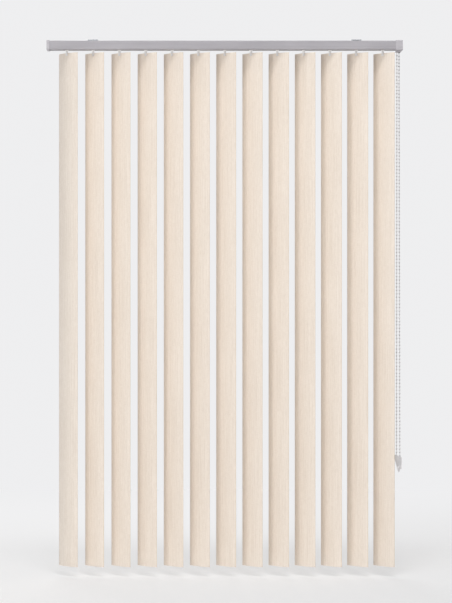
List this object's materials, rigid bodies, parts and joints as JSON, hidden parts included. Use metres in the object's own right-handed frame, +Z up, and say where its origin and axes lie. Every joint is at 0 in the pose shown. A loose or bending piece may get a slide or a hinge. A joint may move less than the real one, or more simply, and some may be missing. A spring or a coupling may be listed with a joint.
{
  "type": "vertical blind",
  "caption": "Ceiling-mounted vertical blind with bowed woven-look slats that tilt by a bead chain and a worm drive, and draw to one side on carriers in the headrail.",
  "frame": {"origin": "midway between the two bracket screws, on the ceiling plane, above the line of the hooks", "axes": "+X along the rail towards the control chain, +Y from the room towards the window, +Z up"},
  "size_m": [1.08, 0.0661, 1.6],
  "materials": {
    "slat_weave": "embossed linen weave",
    "rail_paint": "satin powder coat",
    "white_moulding": "satin",
    "carrier_plastic": "moulded",
    "worm_plastic": "moulded",
    "chain_plastic": "satin",
    "rod_metal": "drawn",
    "bracket_steel": "zinc plated"
  },
  "bodies": {
    "rail": {"headrail": "rail_paint", "control_housing": "white_moulding", "return_cap": "white_moulding", "brackets": "bracket_steel", "chain": "chain_plastic", "tensioner": "white_moulding", "carrier_01": "carrier_plastic"},
    "tilt_drive": {"tilt_rod": "rod_metal", "sprocket": "carrier_plastic"},
    "worm_01": {"worm_01": "worm_plastic"},
    "vane_01": {"hook_01": "white_moulding", "slat_01": "slat_weave"},
    "carrier_02": {"carrier_02": "carrier_plastic"},
    "worm_02": {"worm_02": "worm_plastic"},
    "vane_02": {"hook_02": "white_moulding", "slat_02": "slat_weave"},
    "carrier_03": {"carrier_03": "carrier_plastic"},
    "worm_03": {"worm_03": "worm_plastic"},
    "vane_03": {"hook_03": "white_moulding", "slat_03": "slat_weave"},
    "carrier_04": {"carrier_04": "carrier_plastic"},
    "worm_04": {"worm_04": "worm_plastic"},
    "vane_04": {"hook_04": "white_moulding", "slat_04": "slat_weave"},
    "carrier_05": {"carrier_05": "carrier_plastic"},
    "worm_05": {"worm_05": "worm_plastic"},
    "vane_05": {"hook_05": "white_moulding", "slat_05": "slat_weave"},
    "carrier_06": {"carrier_06": "carrier_plastic"},
    "worm_06": {"worm_06": "worm_plastic"},
    "vane_06": {"hook_06": "white_moulding", "slat_06": "slat_weave"},
    "carrier_07": {"carrier_07": "carrier_plastic"},
    "worm_07": {"worm_07": "worm_plastic"},
    "vane_07": {"hook_07": "white_moulding", "slat_07": "slat_weave"},
    "carrier_08": {"carrier_08": "carrier_plastic"},
    "worm_08": {"worm_08": "worm_plastic"},
    "vane_08": {"hook_08": "white_moulding", "slat_08": "slat_weave"},
    "carrier_09": {"carrier_09": "carrier_plastic"},
    "worm_09": {"worm_09": "worm_plastic"},
    "vane_09": {"hook_09": "white_moulding", "slat_09": "slat_weave"},
    "carrier_10": {"carrier_10": "carrier_plastic"},
    "worm_10": {"worm_10": "worm_plastic"},
    "vane_10": {"hook_10": "white_moulding", "slat_10": "slat_weave"},
    "carrier_11": {"carrier_11": "carrier_plastic"},
    "worm_11": {"worm_11": "worm_plastic"},
    "vane_11": {"hook_11": "white_moulding", "slat_11": "slat_weave"},
    "carrier_12": {"carrier_12": "carrier_plastic"},
    "worm_12": {"worm_12": "worm_plastic"},
    "vane_12": {"hook_12": "white_moulding", "slat_12": "slat_weave"},
    "carrier_13": {"carrier_13": "carrier_plastic"},
    "worm_13": {"worm_13": "worm_plastic"},
    "vane_13": {"hook_13": "white_moulding", "slat_13": "slat_weave"}
  },
  "joints": [
    {"name": "rod_turn", "type": "hinge", "parent": "rail", "child": "tilt_drive", "pos_m": [0, 0.0092, -0.0195], "axis": [1, 0, 0], "range_deg": [-1368, 360], "deforming": ["chain"]},
    {"name": "slat_01_tilt", "type": "hinge", "parent": "rail", "child": "vane_01", "pos_m": [-0.48, 0, -0.0195], "axis": [0, 0, 1], "range_deg": [-114, 30]},
    {"name": "worm_01_turn", "type": "hinge", "parent": "rail", "child": "worm_01", "pos_m": [-0.48, 0.0092, -0.0195], "axis": [1, 0, 0], "range_deg": [-1368, 360]},
    {"name": "carrier_02_slide", "type": "slide", "parent": "rail", "child": "carrier_02", "axis": [1, 0, 0], "range_m": [-0.064, 0]},
    {"name": "slat_02_tilt", "type": "hinge", "parent": "carrier_02", "child": "vane_02", "pos_m": [-0.4, 0, -0.0195], "axis": [0, 0, 1], "range_deg": [-114, 30]},
    {"name": "worm_02_turn", "type": "hinge", "parent": "carrier_02", "child": "worm_02", "pos_m": [-0.4, 0.0092, -0.0195], "axis": [1, 0, 0], "range_deg": [-1368, 360]},
    {"name": "carrier_03_slide", "type": "slide", "parent": "rail", "child": "carrier_03", "axis": [1, 0, 0], "range_m": [-0.128, 0]},
    {"name": "slat_03_tilt", "type": "hinge", "parent": "carrier_03", "child": "vane_03", "pos_m": [-0.32, 0, -0.0195], "axis": [0, 0, 1], "range_deg": [-114, 30]},
    {"name": "worm_03_turn", "type": "hinge", "parent": "carrier_03", "child": "worm_03", "pos_m": [-0.32, 0.0092, -0.0195], "axis": [1, 0, 0], "range_deg": [-1368, 360]},
    {"name": "carrier_04_slide", "type": "slide", "parent": "rail", "child": "carrier_04", "axis": [1, 0, 0], "range_m": [-0.192, 0]},
    {"name": "slat_04_tilt", "type": "hinge", "parent": "carrier_04", "child": "vane_04", "pos_m": [-0.24, 0, -0.0195], "axis": [0, 0, 1], "range_deg": [-114, 30]},
    {"name": "worm_04_turn", "type": "hinge", "parent": "carrier_04", "child": "worm_04", "pos_m": [-0.24, 0.0092, -0.0195], "axis": [1, 0, 0], "range_deg": [-1368, 360]},
    {"name": "carrier_05_slide", "type": "slide", "parent": "rail", "child": "carrier_05", "axis": [1, 0, 0], "range_m": [-0.256, 0]},
    {"name": "slat_05_tilt", "type": "hinge", "parent": "carrier_05", "child": "vane_05", "pos_m": [-0.16, 0, -0.0195], "axis": [0, 0, 1], "range_deg": [-114, 30]},
    {"name": "worm_05_turn", "type": "hinge", "parent": "carrier_05", "child": "worm_05", "pos_m": [-0.16, 0.0092, -0.0195], "axis": [1, 0, 0], "range_deg": [-1368, 360]},
    {"name": "carrier_06_slide", "type": "slide", "parent": "rail", "child": "carrier_06", "axis": [1, 0, 0], "range_m": [-0.32, 0]},
    {"name": "slat_06_tilt", "type": "hinge", "parent": "carrier_06", "child": "vane_06", "pos_m": [-0.08, 0, -0.0195], "axis": [0, 0, 1], "range_deg": [-114, 30]},
    {"name": "worm_06_turn", "type": "hinge", "parent": "carrier_06", "child": "worm_06", "pos_m": [-0.08, 0.0092, -0.0195], "axis": [1, 0, 0], "range_deg": [-1368, 360]},
    {"name": "carrier_07_slide", "type": "slide", "parent": "rail", "child": "carrier_07", "axis": [1, 0, 0], "range_m": [-0.384, 0]},
    {"name": "slat_07_tilt", "type": "hinge", "parent": "carrier_07", "child": "vane_07", "pos_m": [0, 0, -0.0195], "axis": [0, 0, 1], "range_deg": [-114, 30]},
    {"name": "worm_07_turn", "type": "hinge", "parent": "carrier_07", "child": "worm_07", "pos_m": [0, 0.0092, -0.0195], "axis": [1, 0, 0], "range_deg": [-1368, 360]},
    {"name": "carrier_08_slide", "type": "slide", "parent": "rail", "child": "carrier_08", "axis": [1, 0, 0], "range_m": [-0.448, 0]},
    {"name": "slat_08_tilt", "type": "hinge", "parent": "carrier_08", "child": "vane_08", "pos_m": [0.08, 0, -0.0195], "axis": [0, 0, 1], "range_deg": [-114, 30]},
    {"name": "worm_08_turn", "type": "hinge", "parent": "carrier_08", "child": "worm_08", "pos_m": [0.08, 0.0092, -0.0195], "axis": [1, 0, 0], "range_deg": [-1368, 360]},
    {"name": "carrier_09_slide", "type": "slide", "parent": "rail", "child": "carrier_09", "axis": [1, 0, 0], "range_m": [-0.512, 0]},
    {"name": "slat_09_tilt", "type": "hinge", "parent": "carrier_09", "child": "vane_09", "pos_m": [0.16, 0, -0.0195], "axis": [0, 0, 1], "range_deg": [-114, 30]},
    {"name": "worm_09_turn", "type": "hinge", "parent": "carrier_09", "child": "worm_09", "pos_m": [0.16, 0.0092, -0.0195], "axis": [1, 0, 0], "range_deg": [-1368, 360]},
    {"name": "carrier_10_slide", "type": "slide", "parent": "rail", "child": "carrier_10", "axis": [1, 0, 0], "range_m": [-0.576, 0]},
    {"name": "slat_10_tilt", "type": "hinge", "parent": "carrier_10", "child": "vane_10", "pos_m": [0.24, 0, -0.0195], "axis": [0, 0, 1], "range_deg": [-114, 30]},
    {"name": "worm_10_turn", "type": "hinge", "parent": "carrier_10", "child": "worm_10", "pos_m": [0.24, 0.0092, -0.0195], "axis": [1, 0, 0], "range_deg": [-1368, 360]},
    {"name": "carrier_11_slide", "type": "slide", "parent": "rail", "child": "carrier_11", "axis": [1, 0, 0], "range_m": [-0.64, 0]},
    {"name": "slat_11_tilt", "type": "hinge", "parent": "carrier_11", "child": "vane_11", "pos_m": [0.32, 0, -0.0195], "axis": [0, 0, 1], "range_deg": [-114, 30]},
    {"name": "worm_11_turn", "type": "hinge", "parent": "carrier_11", "child": "worm_11", "pos_m": [0.32, 0.0092, -0.0195], "axis": [1, 0, 0], "range_deg": [-1368, 360]},
    {"name": "carrier_12_slide", "type": "slide", "parent": "rail", "child": "carrier_12", "axis": [1, 0, 0], "range_m": [-0.704, 0]},
    {"name": "slat_12_tilt", "type": "hinge", "parent": "carrier_12", "child": "vane_12", "pos_m": [0.4, 0, -0.0195], "axis": [0, 0, 1], "range_deg": [-114, 30]},
    {"name": "worm_12_turn", "type": "hinge", "parent": "carrier_12", "child": "worm_12", "pos_m": [0.4, 0.0092, -0.0195], "axis": [1, 0, 0], "range_deg": [-1368, 360]},
    {"name": "carrier_13_slide", "type": "slide", "parent": "rail", "child": "carrier_13", "axis": [1, 0, 0], "range_m": [-0.768, 0]},
    {"name": "slat_13_tilt", "type": "hinge", "parent": "carrier_13", "child": "vane_13", "pos_m": [0.48, 0, -0.0195], "axis": [0, 0, 1], "range_deg": [-114, 30]},
    {"name": "worm_13_turn", "type": "hinge", "parent": "carrier_13", "child": "worm_13", "pos_m": [0.48, 0.0092, -0.0195], "axis": [1, 0, 0], "range_deg": [-1368, 360]}
  ],
  "couplings": [
    {"joint": "slat_01_tilt", "follows": "slat_07_tilt", "ratio": 1},
    {"joint": "worm_01_turn", "follows": "slat_07_tilt", "ratio": 12},
    {"joint": "carrier_02_slide", "follows": "carrier_13_slide", "ratio": 0.083333},
    {"joint": "slat_02_tilt", "follows": "slat_07_tilt", "ratio": 1},
    {"joint": "worm_02_turn", "follows": "slat_07_tilt", "ratio": 12},
    {"joint": "carrier_03_slide", "follows": "carrier_13_slide", "ratio": 0.16667},
    {"joint": "slat_03_tilt", "follows": "slat_07_tilt", "ratio": 1},
    {"joint": "worm_03_turn", "follows": "slat_07_tilt", "ratio": 12},
    {"joint": "carrier_04_slide", "follows": "carrier_13_slide", "ratio": 0.25},
    {"joint": "slat_04_tilt", "follows": "slat_07_tilt", "ratio": 1},
    {"joint": "worm_04_turn", "follows": "slat_07_tilt", "ratio": 12},
    {"joint": "carrier_05_slide", "follows": "carrier_13_slide", "ratio": 0.33333},
    {"joint": "slat_05_tilt", "follows": "slat_07_tilt", "ratio": 1},
    {"joint": "worm_05_turn", "follows": "slat_07_tilt", "ratio": 12},
    {"joint": "carrier_06_slide", "follows": "carrier_13_slide", "ratio": 0.41667},
    {"joint": "slat_06_tilt", "follows": "slat_07_tilt", "ratio": 1},
    {"joint": "worm_06_turn", "follows": "slat_07_tilt", "ratio": 12},
    {"joint": "carrier_07_slide", "follows": "carrier_13_slide", "ratio": 0.5},
    {"joint": "worm_07_turn", "follows": "slat_07_tilt", "ratio": 12},
    {"joint": "carrier_08_slide", "follows": "carrier_13_slide", "ratio": 0.58333},
    {"joint": "slat_08_tilt", "follows": "slat_07_tilt", "ratio": 1},
    {"joint": "worm_08_turn", "follows": "slat_07_tilt", "ratio": 12},
    {"joint": "carrier_09_slide", "follows": "carrier_13_slide", "ratio": 0.66667},
    {"joint": "slat_09_tilt", "follows": "slat_07_tilt", "ratio": 1},
    {"joint": "worm_09_turn", "follows": "slat_07_tilt", "ratio": 12},
    {"joint": "carrier_10_slide", "follows": "carrier_13_slide", "ratio": 0.75},
    {"joint": "slat_10_tilt", "follows": "slat_07_tilt", "ratio": 1},
    {"joint": "worm_10_turn", "follows": "slat_07_tilt", "ratio": 12},
    {"joint": "carrier_11_slide", "follows": "carrier_13_slide", "ratio": 0.83333},
    {"joint": "slat_11_tilt", "follows": "slat_07_tilt", "ratio": 1},
    {"joint": "worm_11_turn", "follows": "slat_07_tilt", "ratio": 12},
    {"joint": "carrier_12_slide", "follows": "carrier_13_slide", "ratio": 0.91667},
    {"joint": "slat_12_tilt", "follows": "slat_07_tilt", "ratio": 1},
    {"joint": "worm_12_turn", "follows": "slat_07_tilt", "ratio": 12},
    {"joint": "slat_13_tilt", "follows": "slat_07_tilt", "ratio": 1},
    {"joint": "worm_13_turn", "follows": "slat_07_tilt", "ratio": 12},
    {"joint": "rod_turn", "follows": "slat_07_tilt", "ratio": 12}
  ]
}
